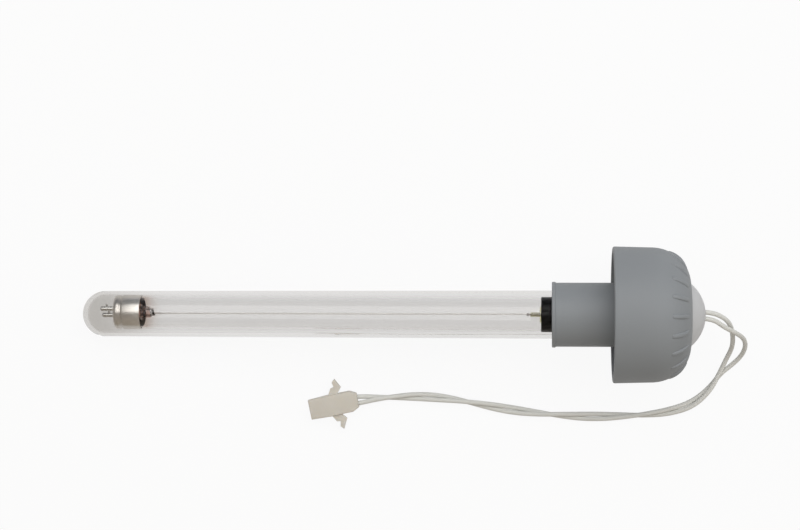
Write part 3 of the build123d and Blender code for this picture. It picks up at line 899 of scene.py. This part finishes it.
# %% Glow of the table
pool_shape = (3.5, 9.0, 1.0)     # factors on metres, which make the pool longer than wide
pool_edge = (0.5, 1.5)           # where it fades, after those factors
pool_sides = (-0.5, 0.5)         # from its warm side to its cool one
pool_near = (0.80, 0.79, 0.78, 1)
pool_cool = (0.64, 0.64, 0.69, 1)
pool_warm = (0.37, 0.33, 0.27, 1)
white = (1, 1, 1, 1)
glow_most = 0.92
table_white = Finish(
    "table_white", Base_Color=(0.72, 0.72, 0.72, 1), Roughness=1.0, Specular_IOR_Level=0.0,
)
pool_spot = table_white.node(
    "ShaderNodeMapping", inputs={"Vector": table_white.spot(), "Scale": pool_shape},
)
pool_reach = table_white.node(
    "ShaderNodeVectorMath", {"operation": "LENGTH"}, {0: pool_spot}, output="Value",
)
pool_across = table_white.node("ShaderNodeSeparateXYZ", inputs={"Vector": pool_spot}, output="Y")
pool_side = table_white.node(
    "ShaderNodeMapRange",
    inputs={"Value": pool_across, "From Min": pool_sides[0], "From Max": pool_sides[1]},
)
pool_far = table_white.mix(pool_side, pool_warm, pool_cool)
pool_colour = table_white.mix(table_white.smooth_step(pool_reach, *pool_edge), pool_near, pool_far)
camera_ray, glossy_ray, glass_ray = (
    table_white.node("ShaderNodeLightPath", output=f"Is {kind} Ray")
    for kind in ("Camera", "Glossy", "Transmission")
)
glow_colour = table_white.mix(camera_ray, pool_colour, white)
glow = table_white.node("ShaderNodeEmission", inputs={"Color": glow_colour})
seen = table_white.node("ShaderNodeClamp", inputs={"Value": camera_ray + glossy_ray + glass_ray})
plain = Socket(table_white, table_white.shader.outputs[0])
shown = table_white.node("ShaderNodeMixShader", inputs={0: glow_most * seen, 1: plain, 2: glow})
table_white.tree.links.new(
    shown.output, table_white.tree.nodes["Material Output"].inputs["Surface"],
)
dress(table_white, floor)

# %% [markdown]
# ## Light
#
# The studio is one large soft box over the far side, and a pale sky that fills the rest, warmer on the
# near side. A small light would leave a hard streak on the glass and a hard shadow under the bell, so
# the box is far wider than the lamp is long. It is moved towards the bell's end, so that the bell
# shades the neck. The camera sees the sky white.

# %% Sky
class Sky(Finish):
    """The world's colours, with a background in place of the main shader."""

    def __init__(self, name):
        self.material = bpy.data.worlds.new(name)
        self.material.use_nodes = True
        self.tree = self.material.node_tree
        self.shader = self.tree.nodes["Background"]


sky_warm = (0.48, 0.43, 0.37, 1)
sky_cool = (0.31, 0.325, 0.35, 1)
sky = Sky("studio")
sky_way = sky.node("ShaderNodeTexCoord", output="Generated")
sky_side = sky.node("ShaderNodeSeparateXYZ", inputs={"Vector": sky_way}, output="Y")
sky_fill = sky.mix(0.5 + 0.5 * sky_side, sky_warm, sky_cool)
camera_sees = sky.node("ShaderNodeLightPath", output="Is Camera Ray")
sky.set({"Color": sky.mix(camera_sees, sky_fill, white)})
scene.world = sky.material
print("sky", sky.material.name)

# %% Soft box
box_width = 2.4
box_depth = 1.55
box_height = 1.3
box_right = 0.5
box_light = 1.84
box_data = bpy.data.lights.new("soft_box", "AREA")
box_data.shape = "RECTANGLE"
box_data.size = box_width
box_data.size_y = box_depth
box_data.energy = box_light * math.pi * box_width * box_depth
soft_box = bpy.data.objects.new("soft_box", box_data)
soft_box.location = (box_right, box_depth / 2, box_height)
scene.collection.objects.link(soft_box)
print("soft box", round(box_data.energy, 1), "W")

# %% [markdown]
# ## The leads on the lamp's body
#
# A lead is free to move, but here each stays a plain curve. It is attached to the lamp's body, and the
# imported wire that it stands in for is hidden. Its length is that of its route, so that the curve can
# be measured against it. Each is listed with the length of its route and with the part of the connector
# that it holds, its housing for one and its contacts for the other, but nothing uses these yet.

# %% Leads attached to the body
lead_facts = (
    (lead_1, 1, 0.2449, housing),
    (lead_2, -1, 0.2505, nodes["plug_contacts"]),
)
for lead, strand, length, on_it in lead_facts:
    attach(lead, "root")
    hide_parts("lead_wire_1" if strand == 1 else "lead_wire_2")
    leaves = axis_point(plug_top, strand * lead_side) * MM
    print(lead.name, "declared", length, "m long")
